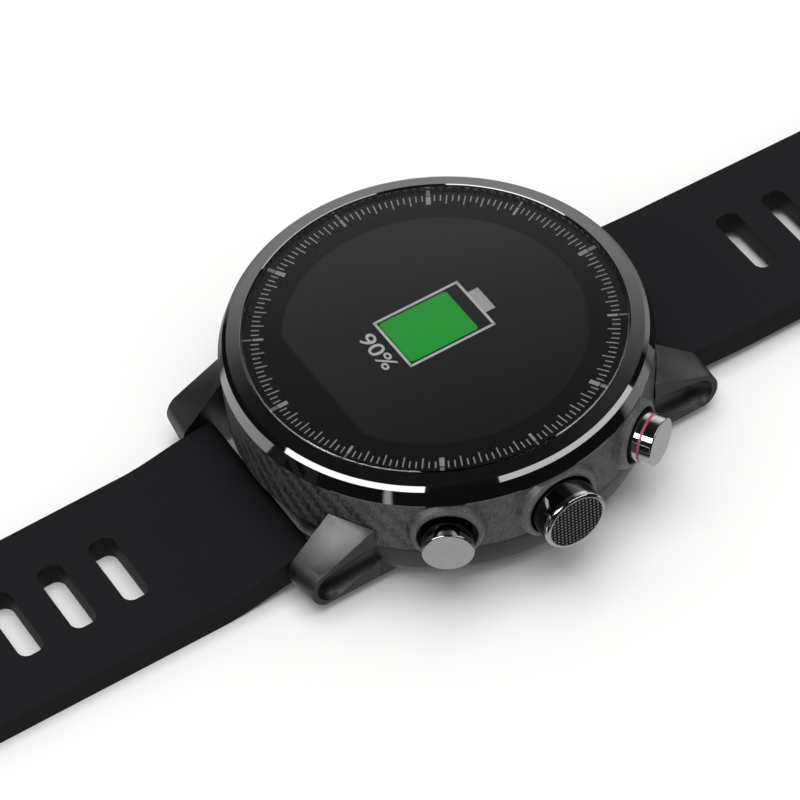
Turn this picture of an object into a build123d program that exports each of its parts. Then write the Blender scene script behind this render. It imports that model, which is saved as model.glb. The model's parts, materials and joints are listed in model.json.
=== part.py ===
"""GPS running watch: round case, three side pushers, two-part silicone strap with a tang buckle.

Millimetres.  The origin is on the case axis, at the flat underside of the sensor window that the
watch stands on.  +Z goes up through the display, +Y points to 12 o'clock and +X to 3 o'clock.
The strap lies open along Y: buckle half towards +Y, long half towards -Y.
"""
from build123d import *
import os
from math import cos, radians, sin

os.makedirs("parts", exist_ok=True)

# ---- case heights ----
Z_BACK = 1.2                # flat outer face of the back cover
Z_BACK_TOP = 2.4            # inner face of the back cover
Z_CHASSIS_TOP = 6.1         # chassis below, carbon mid case above
Z_MID_TOP = 13.1            # mid case below, bezel above
Z_TOP = 15.58               # highest edge of the bezel

# ---- case radii ----
R_MID_TOP = 23.05
R_MID_BOTTOM = 22.9
R_MID_IN = 20.6
R_CHASSIS_LOW = 21.5
R_CHASSIS_IN = 17.6
R_BACK = 20.6
FIT = 0.05                  # clearance between pieces that are assembled by hand

# ---- bezel, glass and display ----
R_BEZEL_RING = 22.0         # outer edge of the sloped top ring
R_BEZEL_WALL = 22.48        # top of the polished outer wall
R_BEZEL_IN = 20.46
Z_BEZEL_RING = 15.15
Z_BEZEL_WALL = 14.76
BEZEL_EASE = 0.08           # the inner top edge of the bezel is eased by this much
R_LEDGE = 19.6              # ledge inside the bezel that carries the display
Z_LEDGE = 14.05
Z_SKIRT = 12.4
R_GLASS = 20.36
Z_GLASS = 14.6
T_GLASS = 0.88
GLASS_EDGE = 0.12           # polished bevel round the top of the glass
R_DIAL = 20.35
T_DIAL = 0.5
R_PANEL = 16.4
Y_PANEL_FLAT = 14.35        # the display's straight lower edge, measured from the centre
Z_PANEL = 14.5
T_PANEL = 1.4
Z_CARRIER = 12.6
T_CARRIER = 0.4

# ---- pushers: clock angle from 12, face distance from the axis, cap radius ----
Z_PUSHER = 9.2
PUSHERS = {
    "upper": (60.0, 26.1, 2.7),
    "middle": (90.0, 26.5, 3.55),
    "lower": (120.0, 25.9, 2.7),
}
PUSHER_TRAVEL = 0.5
D_CAP_BACK = 22.9           # inner end of a cap
D_SEAT = 22.3               # floor of the well a cap moves in
D_COLLAR = 23.7             # outer face of the raised collar
D_PAD = 19.8                # inner face of the pad behind a collar
COLLAR_RIM = 0.42           # width of the collar's face round the well
COLLAR_FLARE = 0.75         # how much wider the collar is where it meets the wall
RIM_EASE = 0.18             # the collar's outer edge is eased by this much
PAD_WALL = 0.95             # how much wider the pad inside is than the cap
WELL_GAP = 0.5              # clearance round a cap
WELL_ROOF = 0.1             # least wall over a well
R_STEM = 0.9
D_STEM_END = 19.0
R_TUBE = 1.5
R_TUBE_BORE = 0.95
R_SEAL_GROOVE = 1.28
D_SEAL = 20.6
W_SEAL = 0.5
CAP_WALL = 0.6
CAP_FACE = 1.0              # thickness of a cap behind its face
RED_BAND_D = 24.65
RED_BAND_W = 0.15
KNURL_RIM = 0.40            # plain rim round the knurled face of the middle cap
KNURL_DEPTH = 0.14
CLIP_T = 0.3
R_CLIP = 1.55
R_CLIP_GROOVE = 0.62
SPRING_WIRE = 0.16
SPRING_R = 1.45
SPRING_TURNS = 4

# ---- lugs and spring bars ----
LUG_GAP = 22.0              # strap width that the lugs take
X_LUG_OUT = 15.2
Y_BAR = 23.3
Z_BAR = 3.0
R_BAR_TIP = 0.45
R_LUG_HOLE = 0.5
LUG_HOLE_DEPTH = 1.2
R_BAR_TUBE = 0.8
R_BAR_BORE = 0.5
BAR_TUBE = 20.6
BAR_TIP_REACH = 0.9         # how far a tip enters a lug
RELEASE_TRAVEL = 1.1
X_RELEASE = 6.5             # where the release knob stands, measured from the middle

# ---- strap ----
STRAP_W = 21.4
STRAP_W_END = 20.0
Y_TAPER = (62.0, 92.0)
STRAP_T = 3.2
STRAP_T_END = 2.6
Y_FLAT = 34.0               # where the strap levels out after the lug
Y_THIN = 62.0               # where it has come down to its end thickness
R_KNUCKLE = 1.6
SLOT_L = 9.2
SLOT_W = 2.9
SLOT_R = 1.1
SLOT_FIRST = 39.8
SLOT_PITCH = 6.2
SLOTS_LONG = 13
SLOTS_SHORT = 4
Y_LONG_TIP = 141.0
Z_SHORT = 1.0               # underside of the buckle half, held up by its keepers

# ---- buckle and keepers ----
Y_PIN = 104.0
Z_PIN = 1.9
R_PIN = 0.75
R_STRAP_END = 1.4
BUCKLE_IN_W = 20.9
BUCKLE_ARM = 2.0
Y_BUCKLE_OUT = 119.0
BUCKLE_BAR = 3.0
BUCKLE_H = 2.6
TONGUE_W = 6.4
TONGUE_T = 1.2
R_TONGUE_EYE = 1.45
KEEPER_L = 6.5
KEEPER_WALL = 0.95
KEEPER_IN_H = 5.4
Y_KEEPER_FIXED = 93.0
Y_KEEPER_FREE = 77.0
KEEPER_SIDE_GAP = 0.4

# ---- inside the case ----
SCREW_PCR = 19.45           # radius of the screw circle
SCREW_ANGLES = (45, 135, 225, 315)
R_SCREW = 0.58
R_SCREW_HEAD = 1.1
R_SCREW_BOSS = 1.5
Z_BOSS_TOP = 9.8
R_WINDOW = 7.5
R_BUMP = 10.5
CONTACT_X = (-4.5, -1.5, 1.5, 4.5)
Y_CONTACT = -14.2
R_CONTACT = 0.9
BATTERY = (24.0, 19.0, 4.6)
Y_BATTERY = 2.5
Z_BATTERY = 3.3
R_BOARD = 17.9
Z_BOARD = 10.3
T_BOARD = 0.8
T_FRAME = 0.5
FRAME_POST_ANGLES = (0, 55, 125, 160, 200, 235, 305)
Z_SWITCH = 8.65
Z_SENSOR_BOARD = 2.5        # top of the sensor board
T_FLEX = 0.12
FLEX_W = 4.5
Y_FLEX = -15.6
X_SENSOR_FLEX = -13.2


def write(node, *shapes):
    """One STEP per node; several solids become one group."""
    shape = shapes[0] if len(shapes) == 1 else Compound(children=list(shapes))
    export_step(shape, f"parts/{node}.step")


def tube(r_out, r_in, z0, z1):
    ring = Cylinder(r_out, z1 - z0) - Cylinder(r_in, z1 - z0)
    return Pos(0, 0, (z0 + z1) / 2) * ring


def disc(r, z0, z1, x=0.0, y=0.0):
    return Pos(x, y, (z0 + z1) / 2) * Cylinder(r, z1 - z0)


def block(x0, x1, y0, y1, z0, z1):
    size = Box(x1 - x0, y1 - y0, z1 - z0)
    return Pos((x0 + x1) / 2, (y0 + y1) / 2, (z0 + z1) / 2) * size


def rod_x(r, x0, x1, y, z):
    return Pos((x0 + x1) / 2, y, z) * Rot(0, 90, 0) * Cylinder(r, x1 - x0)


def lathe(points):
    """Solid of revolution about Z from (r, z) corners."""
    return revolve(Plane.XZ * make_face(Polyline(*points, close=True)), Axis.Z)


def side_extrude(outline, half_width):
    """Extrude a (y, z) face both ways along X."""
    return extrude(Plane.YZ * outline, half_width, both=True)


def radial(clock, d, z=Z_PUSHER):
    """Place +Z of a shape outwards along a clock direction, at distance d from the axis."""
    return Rot(0, 0, 90 - clock) * Pos(d, 0, z) * Rot(0, 90, 0)


def radial_rod(clock, r, d0, d1):
    return radial(clock, (d0 + d1) / 2) * Cylinder(r, d1 - d0)


# ------------------------------------------------------------------ bezel, glass, display
def bezel_ring():
    return lathe([
        (R_LEDGE, Z_SKIRT), (R_MID_IN - FIT, Z_SKIRT), (R_MID_IN - FIT, Z_MID_TOP),
        (R_MID_TOP, Z_MID_TOP), (R_MID_TOP, Z_MID_TOP + 0.15), (R_BEZEL_WALL, Z_BEZEL_WALL),
        (R_BEZEL_RING, Z_BEZEL_RING), (R_BEZEL_IN + BEZEL_EASE, Z_TOP),
        (R_BEZEL_IN, Z_TOP - BEZEL_EASE),
        (R_BEZEL_IN, Z_LEDGE), (R_LEDGE, Z_LEDGE),
    ])


def display_glass():
    top = Z_GLASS + T_GLASS
    return lathe([(0, Z_GLASS), (R_GLASS, Z_GLASS), (R_GLASS, top - GLASS_EDGE),
                  (R_GLASS - GLASS_EDGE, top), (0, top)])


def glass_gasket():
    return tube(R_BEZEL_IN, R_GLASS, Z_GLASS, Z_GLASS + T_GLASS - GLASS_EDGE)


def flatted_disc(r, flat, z0, z1):
    """Disc with a straight edge at y = -flat."""
    return disc(r, z0, z1) & block(-r, r, -flat, r, z0, z1)


def dial_ring():
    outer = disc(R_DIAL, Z_LEDGE, Z_LEDGE + T_DIAL)
    window = flatted_disc(R_PANEL + FIT, Y_PANEL_FLAT + FIT, Z_LEDGE, Z_LEDGE + T_DIAL)
    groove = tube(19.4, 19.3, Z_LEDGE + T_DIAL - 0.06, Z_LEDGE + T_DIAL)
    return outer - window - groove


def display_panel():
    return flatted_disc(R_PANEL, Y_PANEL_FLAT, Z_PANEL - T_PANEL, Z_PANEL)


def display_carrier():
    rim = tube(R_LEDGE - FIT, R_PANEL + 0.3, Z_CARRIER + T_CARRIER, Z_LEDGE)
    plate = disc(R_LEDGE - FIT, Z_CARRIER, Z_CARRIER + T_CARRIER)
    flex_slot = block(-FLEX_W, FLEX_W, Y_FLEX - 0.5, Y_FLEX + 0.5, Z_CARRIER, Z_PANEL)
    return rim + plate - flex_slot


def display_backplate():
    return flatted_disc(R_PANEL - 0.6, Y_PANEL_FLAT - 0.6, Z_CARRIER + T_CARRIER,
                        Z_PANEL - T_PANEL)


# ------------------------------------------------------------------ mid case
def bore_radius(r_cap):
    """Radius of the well round a cap; it stays under the top edge of the mid case."""
    return min(r_cap + WELL_GAP, Z_MID_TOP - Z_PUSHER - WELL_ROOF)


def well(clock, r_cap):
    """The hollow that a cap moves in."""
    return radial_rod(clock, bore_radius(r_cap), D_SEAT, 30)


def pusher_pads():
    """A flared collar outside and a pad inside the mid case, for each pusher."""
    pads = []
    for clock, _, r_cap in PUSHERS.values():
        r_pad = r_cap + PAD_WALL
        r_rim = bore_radius(r_cap) + COLLAR_RIM
        r_foot = r_rim + COLLAR_FLARE
        pads.append(radial(clock, 0, Z_PUSHER) * lathe([
            (0, D_PAD), (r_pad, D_PAD), (r_pad, D_PAD + 1.6), (r_foot, D_PAD + 2.4),
            (r_foot - 0.1, D_PAD + 2.7), (r_rim + 0.1, D_COLLAR - RIM_EASE),
            (r_rim - RIM_EASE, D_COLLAR), (0, D_COLLAR),
        ]))
    return pads


def mid_case():
    wall = lathe([(R_MID_IN, Z_CHASSIS_TOP), (R_MID_BOTTOM, Z_CHASSIS_TOP),
                  (R_MID_TOP, Z_MID_TOP), (R_MID_IN, Z_MID_TOP)])
    band = disc(30, Z_CHASSIS_TOP, Z_MID_TOP) - disc(R_MID_IN, Z_SKIRT - 0.1, Z_MID_TOP)
    for pad in pusher_pads():
        wall += pad & band
    for angle in SCREW_ANGLES:
        x, y = SCREW_PCR * cos(radians(angle)), SCREW_PCR * sin(radians(angle))
        boss = disc(R_SCREW_BOSS, Z_CHASSIS_TOP, Z_BOSS_TOP, x, y)
        wall += boss & disc(R_MID_IN + 0.5, Z_CHASSIS_TOP, Z_BOSS_TOP)
        wall -= disc(R_SCREW + 0.02, Z_CHASSIS_TOP, Z_BOSS_TOP - 0.6, x, y)
    for clock, _, r_cap in PUSHERS.values():
        wall -= well(clock, r_cap)
        wall -= radial_rod(clock, R_TUBE + 0.01, D_PAD - 1, D_SEAT + 1)
    return wall - tube(21.8, 21.2, Z_MID_TOP - 0.5, Z_MID_TOP)


def bezel_seal():
    return tube(21.75, 21.25, Z_MID_TOP - 0.5, Z_MID_TOP)


# ------------------------------------------------------------------ lug chassis
def lug_profile(x, top_in, top_out, tip_mid, tip_low):
    """Side view of a lug at one X, as a face: sloped top, rounded tip, flat underside."""
    y_root = 15.0
    wire = [
        Line((x, *top_in), (x, *top_out)),
        ThreePointArc((x, *top_out), (x, *tip_mid), (x, *tip_low)),
        Line((x, *tip_low), (x, y_root, tip_low[1])),
        Line((x, y_root, tip_low[1]), (x, *top_in)),
    ]
    return make_face(wire)


def lug():
    """The +X +Y lug, before it is trimmed to the case wall."""
    inner = lug_profile(LUG_GAP / 2, (15.0, 14.17), (24.6, 5.35), (25.75, 3.1), (24.7, 0.9))
    outer = lug_profile(X_LUG_OUT, (15.0, 9.72), (24.15, 5.6), (25.3, 3.4), (23.9, 1.2))
    body = loft([inner, outer], ruled=True)
    scoop_r = 2.1
    tip = Vector(X_LUG_OUT + 0.8, 22.7, 3.5)
    root = Vector(X_LUG_OUT + 2.2, 14.0, 6.0)
    run = root - tip
    trough = Plane(origin=tip, z_dir=run) * Pos(0, 0, run.length / 2) * Cylinder(scoop_r, run.length)
    return body - trough - Pos(tip) * Sphere(scoop_r)


def chassis():
    ring = lathe([
        (R_CHASSIS_IN, Z_BACK_TOP), (R_BACK + FIT, Z_BACK_TOP), (R_BACK + FIT, Z_BACK),
        (R_CHASSIS_LOW, Z_BACK), (R_CHASSIS_LOW + 0.9, Z_BACK + 1.6),
        (R_MID_BOTTOM, Z_CHASSIS_TOP - 0.6), (R_MID_BOTTOM, Z_CHASSIS_TOP),
        (R_CHASSIS_IN, Z_CHASSIS_TOP),
    ])
    horn = lug()
    horn -= disc(R_MID_TOP + 0.02, Z_CHASSIS_TOP, 20)
    horn -= disc(R_BACK + 0.3, 0, Z_CHASSIS_TOP)
    for sx in (False, True):
        for sy in (False, True):
            piece = mirror(horn, Plane.YZ) if sx else horn
            ring += mirror(piece, Plane.XZ) if sy else piece
    for clock, _, r_cap in PUSHERS.values():
        ring -= well(clock, r_cap)
    half_gap = LUG_GAP / 2
    for side in (1, -1):
        y0, y1 = sorted((side * (Y_BAR - R_KNUCKLE - 0.3), side * 40))
        ring -= block(-half_gap, half_gap, y0, y1, 0, Z_CHASSIS_TOP)
        ring -= rod_x(R_LUG_HOLE, -half_gap - LUG_HOLE_DEPTH, half_gap + LUG_HOLE_DEPTH,
                      side * Y_BAR, Z_BAR)
    for angle in SCREW_ANGLES:
        x, y = SCREW_PCR * cos(radians(angle)), SCREW_PCR * sin(radians(angle))
        ring -= disc(R_SCREW + 0.15, Z_BACK, Z_CHASSIS_TOP, x, y)
    return ring - tube(18.5, 17.9, Z_BACK_TOP, Z_BACK_TOP + 0.5)


# ------------------------------------------------------------------ back cover
def case_back():
    plate = disc(R_BACK, Z_BACK, Z_BACK_TOP)
    bump = lathe([(0, 0.35), (R_BUMP - 0.7, 0.35), (R_BUMP, Z_BACK), (0, Z_BACK)])
    back = plate + bump
    back -= disc(R_WINDOW + 1.0, 1.0, Z_BACK_TOP)
    back -= disc(R_WINDOW + 0.03, 0, 1.2)
    for x in CONTACT_X:
        back -= disc(R_CONTACT + 0.02, Z_BACK, Z_BACK_TOP, x, Y_CONTACT)
    for angle in SCREW_ANGLES:
        x, y = SCREW_PCR * cos(radians(angle)), SCREW_PCR * sin(radians(angle))
        back -= disc(R_SCREW + 0.15, Z_BACK, Z_BACK_TOP, x, y)
        back -= disc(R_SCREW_HEAD + 0.12, Z_BACK, Z_BACK_TOP - 0.4, x, y)
    return back


def back_seal():
    return tube(18.45, 17.95, Z_BACK_TOP, Z_BACK_TOP + 0.5)


def sensor_window():
    return lathe([(0, 0), (R_WINDOW - 0.35, 0), (R_WINDOW, 0.35), (R_WINDOW, 1.0), (0, 1.0)])


def sensor_leds():
    z0, z1 = 1.2, 1.9
    leds = [block(x - 1.0, x + 1.0, -0.8, 0.8, z0, z1) for x in (-3.6, 3.6)]
    diode = block(-1.3, 1.3, -1.5, 1.5, z0, z1)
    return leds + [diode]


def sensor_board():
    return disc(8.2, Z_SENSOR_BOARD - 0.6, Z_SENSOR_BOARD)


def charging_contacts():
    return [disc(R_CONTACT, Z_BACK - 0.1, Z_BACK_TOP + 0.3, x, Y_CONTACT)
            + disc(R_CONTACT - 0.45, Z_BACK_TOP, Z_BACK_TOP + 0.8, x, Y_CONTACT)
            for x in CONTACT_X]


def contact_board():
    z0 = Z_BACK_TOP + 0.3
    board = block(-6.4, 6.4, Y_CONTACT - 1.5, Y_CONTACT + 1.5, z0, z0 + 0.4)
    for x in CONTACT_X:
        board -= disc(R_CONTACT - 0.43, z0, z0 + 0.4, x, Y_CONTACT)
    return board


def back_screws():
    z_seat = Z_BACK_TOP - 0.4
    head = disc(R_SCREW_HEAD, z_seat - 0.6, z_seat)
    socket = extrude(Pos(0, 0, z_seat - 0.6) * RegularPolygon(0.55, 6), 0.4)
    screw = head - socket + disc(R_SCREW, z_seat, Z_BOSS_TOP - 1.4)
    screws = []
    for angle in SCREW_ANGLES:
        x, y = SCREW_PCR * cos(radians(angle)), SCREW_PCR * sin(radians(angle))
        screws.append(Pos(x, y, 0) * screw)
    return screws


# ------------------------------------------------------------------ electronics
def battery_cell():
    length, width, height = BATTERY
    cell = Pos(0, Y_BATTERY, Z_BATTERY + height / 2) * Box(length, width, height)
    cell = fillet(cell.edges().filter_by(Axis.Z), 1.5)
    tab_y = Y_BATTERY - width / 2
    return cell + block(-6, 6, tab_y - 0.8, tab_y, Z_BATTERY + 1.6, Z_BATTERY + 2.6)


def inner_frame():
    """Plate over the battery that carries the circuit board on posts."""
    z0 = Z_BATTERY + BATTERY[2] + 0.15
    frame = disc(R_CHASSIS_IN - 0.2, z0, z0 + T_FRAME)
    frame -= block(-7, 7, -18, -12, z0, z0 + T_FRAME)
    frame -= block(X_SENSOR_FLEX - 0.4, X_SENSOR_FLEX + 0.5, -1.8, 1.8, z0, z0 + T_FRAME)
    for angle in FRAME_POST_ANGLES:
        x, y = 14.2 * cos(radians(angle)), 14.2 * sin(radians(angle))
        frame += disc(0.9, z0, Z_BOARD, x, y)
    return frame


def main_board():
    board = disc(R_BOARD, Z_BOARD, Z_BOARD + T_BOARD)
    return board - block(-3, 3, -R_BOARD - 1, -R_BOARD + 0.8, Z_BOARD, Z_BOARD + T_BOARD)


def board_shields():
    z0 = Z_BOARD + T_BOARD
    cans = []
    for x, y, w, d, h in ((-6.5, -2.0, 11, 12, 1.2), (7.0, -4.5, 10, 8, 1.1)):
        can = Pos(x, y, z0 + h / 2) * Box(w, d, h)
        can = fillet(can.edges().filter_by(Axis.Z), 0.8)
        cans.append(can - Pos(x, y, z0 + (h - 0.2) / 2) * Box(w - 0.4, d - 0.4, h - 0.2))
    return cans


def board_chips():
    sizes = ((-7, 8, 5, 5, 0.8), (6, 6, 6, 6, 0.8), (-8, -5, 4, 3, 0.7), (3, -6, 5, 4, 0.7),
             (0, 0, 3, 3, 0.6), (10, -2, 2.5, 2.5, 0.7))
    return [block(x - w / 2, x + w / 2, y - d / 2, y + d / 2, Z_BOARD - h, Z_BOARD)
            for x, y, w, d, h in sizes]


def gps_antenna():
    z0 = Z_BOARD + T_BOARD
    patch = block(-4.5, 4.5, 6.5, 15.5, z0, z0 + 1.2)
    return patch + disc(0.5, z0 + 1.2, z0 + 1.35, 0.8, 11.0)


def pressure_sensor():
    z0 = Z_BOARD + T_BOARD
    can = block(7.4, 10.0, 3.0, 5.6, z0, z0 + 0.9)
    return can - disc(0.35, z0 + 0.6, z0 + 0.9, 8.7, 4.3)


def vibration_motor():
    z0 = Z_BATTERY + 0.1
    y = -12.4
    return disc(3.6, z0, z0 + 2.4, 0, y) + disc(3.0, z0 + 2.4, z0 + 2.6, 0, y)


def side_switches():
    """Three tact switches under the board, one in line with each pusher stem."""
    switches = []
    for clock, _, _ in PUSHERS.values():
        face = D_STEM_END - PUSHER_TRAVEL - FIT
        height = Z_BOARD - Z_SWITCH
        body = (radial(clock, face - 1.05, (Z_BOARD + Z_SWITCH) / 2) * Box(height, 3.6, 1.6))
        switches.append(body + radial_rod(clock, 0.6, face - 0.3, face))
    return switches


def display_flex():
    """Ribbon from the panel's straight edge down to the top of the board."""
    z_low = Z_BOARD + T_BOARD
    z_high = Z_PANEL - 0.6
    half = FLEX_W - 0.5
    return (block(-half, half, Y_FLEX, Y_FLEX + T_FLEX, z_low, z_high)
            + block(-half, half, Y_FLEX, -Y_PANEL_FLAT, z_high - T_FLEX, z_high)
            + block(-half, half, Y_FLEX, Y_FLEX + 3.2, z_low, z_low + T_FLEX))


def sensor_flex():
    """Ribbon from the sensor board out past the battery and up to the main board."""
    x = X_SENSOR_FLEX
    return (block(x, -2, -1.5, 1.5, Z_SENSOR_BOARD, Z_SENSOR_BOARD + T_FLEX)
            + block(x, x + T_FLEX, -1.5, 1.5, Z_SENSOR_BOARD, Z_BOARD))


# ------------------------------------------------------------------ pushers
def pusher_cap(name):
    clock, d_face, r_cap = PUSHERS[name]
    edge = 0.34 if name == "middle" else 0.16
    head = Cylinder(r_cap, d_face - D_CAP_BACK)
    head = fillet(head.edges().group_by(Axis.Z)[-1], edge)
    cap = radial(clock, (d_face + D_CAP_BACK) / 2) * head
    cap -= radial_rod(clock, r_cap - CAP_WALL, D_CAP_BACK - 1, d_face - CAP_FACE)
    cap += radial_rod(clock, R_STEM, D_STEM_END, d_face - CAP_FACE)
    groove = (radial_rod(clock, R_STEM + 1, D_PAD - FIT - CLIP_T, D_PAD - FIT)
              - radial_rod(clock, R_CLIP_GROOVE, D_PAD - 2, D_PAD + 2))
    cap -= groove
    if name == "upper":
        cap -= (radial_rod(clock, r_cap + 1, RED_BAND_D - RED_BAND_W, RED_BAND_D + RED_BAND_W)
                - radial_rod(clock, r_cap - 0.25, 20, 30))
    if name == "middle":
        cap -= radial_rod(clock, r_cap - KNURL_RIM, d_face - KNURL_DEPTH, 30)
    return cap


def pusher_band():
    clock, _, r_cap = PUSHERS["upper"]
    return (radial_rod(clock, r_cap + 0.03, RED_BAND_D - RED_BAND_W, RED_BAND_D + RED_BAND_W)
            - radial_rod(clock, r_cap - 0.25, 20, 30))


def pusher_tube(clock):
    tube_body = radial_rod(clock, R_TUBE, D_PAD, D_SEAT)
    tube_body -= radial_rod(clock, R_TUBE_BORE, D_PAD - 1, D_SEAT + 1)
    return tube_body - radial_rod(clock, R_SEAL_GROOVE, D_SEAL, D_SEAL + W_SEAL)


def pusher_seal(clock):
    return (radial_rod(clock, R_SEAL_GROOVE - 0.01, D_SEAL + 0.02, D_SEAL + W_SEAL - 0.02)
            - radial_rod(clock, R_STEM + 0.01, D_SEAL - 1, D_SEAL + 2))


def pusher_clip(clock):
    """Open retaining ring in the groove at the inner end of a stem."""
    d0 = D_PAD - FIT - CLIP_T + 0.02
    d1 = D_PAD - FIT - 0.02
    ring = radial_rod(clock, R_CLIP, d0, d1) - radial_rod(clock, R_CLIP_GROOVE, d0 - 1, d1 + 1)
    return ring - radial(clock, (d0 + d1) / 2) * Pos(R_CLIP, 0, 0) * Box(2 * R_CLIP, 0.8, 2)


def coil(radius, wire, height, turns):
    path = Helix(pitch=(height - 2 * wire) / turns, height=height - 2 * wire, radius=radius)
    section = Plane(origin=path @ 0, z_dir=path % 0) * Circle(wire)
    return sweep(section, path=path)


def pusher_spring(name):
    clock, d_face, _ = PUSHERS[name]
    height = d_face - CAP_FACE - D_SEAT - 0.06
    spring = coil(SPRING_R, SPRING_WIRE, height, SPRING_TURNS)
    return radial(clock, D_SEAT + 0.03 + SPRING_WIRE) * spring


# ------------------------------------------------------------------ strap halves
def strap_plan(y_end, tip_r, w_end=STRAP_W_END):
    """Plan outline of a strap half that runs towards +Y."""
    y0 = Y_BAR - R_KNUCKLE - 1
    hw, he = STRAP_W / 2, w_end / 2
    outline = make_face(Polyline(
        (-hw, y0), (hw, y0), (hw, Y_TAPER[0]), (he, Y_TAPER[1]), (he, y_end),
        (-he, y_end), (-he, Y_TAPER[1]), (-hw, Y_TAPER[0]), close=True))
    corners = outline.vertices().group_by(Axis.Y)[-1]
    return fillet(corners, tip_r)


def slot_cuts(count):
    slot = extrude(RectangleRounded(SLOT_L, SLOT_W, SLOT_R), 20, both=True)
    return [Pos(0, SLOT_FIRST + i * SLOT_PITCH, 0) * slot for i in range(count)]


def release_notch():
    """Room in the strap's underside for the quick-release knob."""
    return block(-X_RELEASE - 1.6, -X_RELEASE + RELEASE_TRAVEL + 1.6,
                 Y_BAR - R_KNUCKLE - 1, Y_BAR + 1.3, 0, Z_BAR)


def strap_side(z_under, y_end, end):
    """Side view of a strap half: round knuckle at the bar, sloping to its level run."""
    z_low = Z_BAR - R_KNUCKLE
    z_high = Z_BAR + R_KNUCKLE
    z_face = z_under + STRAP_T
    level = ((1, 0), (1, 0))
    edges = [Spline((Y_BAR, z_low), (Y_FLAT, z_under), tangents=level),
             Spline((Y_BAR, z_high), (Y_FLAT, z_face), tangents=level),
             Line((Y_BAR, z_low), (Y_BAR, z_high))]
    if end == "tip":
        run = [(y_end, z_under), (y_end, z_under + STRAP_T_END)]
    else:
        bend_y = Y_PIN - 6
        run = [(bend_y, z_under), (Y_PIN, Z_PIN - R_STRAP_END),
               (Y_PIN, Z_PIN + R_STRAP_END), (bend_y, z_under + STRAP_T_END)]
    edges.append(Polyline((Y_FLAT, z_under), *run, (Y_THIN, z_under + STRAP_T_END),
                          (Y_FLAT, z_face)))
    body = make_face(edges)
    body += Pos(Y_BAR, Z_BAR) * Circle(R_KNUCKLE)
    if end == "pin":
        body += Pos(Y_PIN, Z_PIN) * Circle(R_STRAP_END)
    return body


def strap_half(z_under, y_end, end, slots):
    body = side_extrude(strap_side(z_under, y_end, end), STRAP_W / 2)
    tip_r = 9.0 if end == "tip" else 0.6
    plan_end = y_end if end == "tip" else Y_PIN + R_STRAP_END + 0.1
    body &= extrude(strap_plan(plan_end, tip_r), 12, both=True)
    body -= rod_x(R_BAR_TUBE + 0.02, -20, 20, Y_BAR, Z_BAR)
    body -= release_notch()
    for cut in slot_cuts(slots):
        body -= cut
    return body


def strap_12():
    body = strap_half(Z_SHORT, Y_PIN, "pin", SLOTS_SHORT)
    body -= rod_x(R_PIN + 0.05, -20, 20, Y_PIN, Z_PIN)
    half = TONGUE_W / 2 + 0.4
    return body - block(-half, half, Y_PIN - R_TONGUE_EYE - 1.0, Y_PIN + 5, 0, 6)


def strap_6():
    return Rot(0, 0, 180) * strap_half(0.0, Y_LONG_TIP, "tip", SLOTS_LONG)


# ------------------------------------------------------------------ spring bars
def bar_tube():
    """Tube of a spring bar for the +Y side, slotted for the release knob."""
    body = rod_x(R_BAR_TUBE, -BAR_TUBE / 2, BAR_TUBE / 2, Y_BAR, Z_BAR)
    body -= rod_x(R_BAR_BORE, -BAR_TUBE, BAR_TUBE, Y_BAR, Z_BAR)
    return body - block(-X_RELEASE - 0.5, -X_RELEASE + RELEASE_TRAVEL + 0.5,
                        Y_BAR - 0.4, Y_BAR + 0.4, 0, Z_BAR)


def bar_fixed_tip():
    x_end = LUG_GAP / 2 + BAR_TIP_REACH
    return rod_x(R_BAR_TIP, BAR_TUBE / 2 - 2.5, x_end, Y_BAR, Z_BAR)


def bar_release_tip():
    x_end = -(LUG_GAP / 2 + BAR_TIP_REACH)
    shaft = rod_x(R_BAR_TIP, x_end, -X_RELEASE + 0.4, Y_BAR, Z_BAR)
    post = disc(0.3, Z_BAR - 1.5, Z_BAR, -X_RELEASE, Y_BAR)
    return shaft + post + disc(0.6, Z_BAR - 1.55, Z_BAR - 0.95, -X_RELEASE, Y_BAR)


def bar_spring():
    """Spring between the two tips, inside the tube."""
    x0 = -X_RELEASE + 0.45
    length = BAR_TUBE / 2 - 2.5 - x0 - 0.05
    spring = coil(0.34, 0.08, length, 9)
    return Pos(x0 + 0.08, Y_BAR, Z_BAR) * Rot(0, 90, 0) * spring


# ------------------------------------------------------------------ buckle and keepers
def buckle_frame():
    x_out = BUCKLE_IN_W / 2 + BUCKLE_ARM
    y_in = Y_PIN - 1.3
    z0, z1 = Z_PIN - BUCKLE_H / 2, Z_PIN + BUCKLE_H / 2
    plan = make_face(Polyline((-x_out, y_in), (x_out, y_in), (x_out, Y_BUCKLE_OUT),
                              (-x_out, Y_BUCKLE_OUT), close=True))
    plan = fillet(plan.vertices().group_by(Axis.Y)[-1], 3.2)
    plan = fillet(plan.vertices().group_by(Axis.Y)[0], 1.0)
    y_bar = Y_BUCKLE_OUT - BUCKLE_BAR
    window = Pos(0, (y_in - 2 + y_bar) / 2) * RectangleRounded(BUCKLE_IN_W, y_bar - y_in + 2, 1.2)
    frame = Pos(0, 0, z0) * extrude(plan - window, z1 - z0)
    frame += block(-BUCKLE_IN_W / 2 + 1, BUCKLE_IN_W / 2 - 1, y_bar + 0.3, Y_BUCKLE_OUT - 0.4, 0, z0 + 0.5)
    rest = block(-TONGUE_W / 2 - 0.4, TONGUE_W / 2 + 0.4, y_bar - 1, Y_BUCKLE_OUT + 1, z1 - 0.3, z1 + 1)
    return frame - rest - rod_x(R_PIN + 0.01, -x_out + 0.7, x_out - 0.7, Y_PIN, Z_PIN)


def buckle_pin():
    x = BUCKLE_IN_W / 2 + BUCKLE_ARM - 0.75
    return rod_x(R_PIN, -x, x, Y_PIN, Z_PIN)


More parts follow.
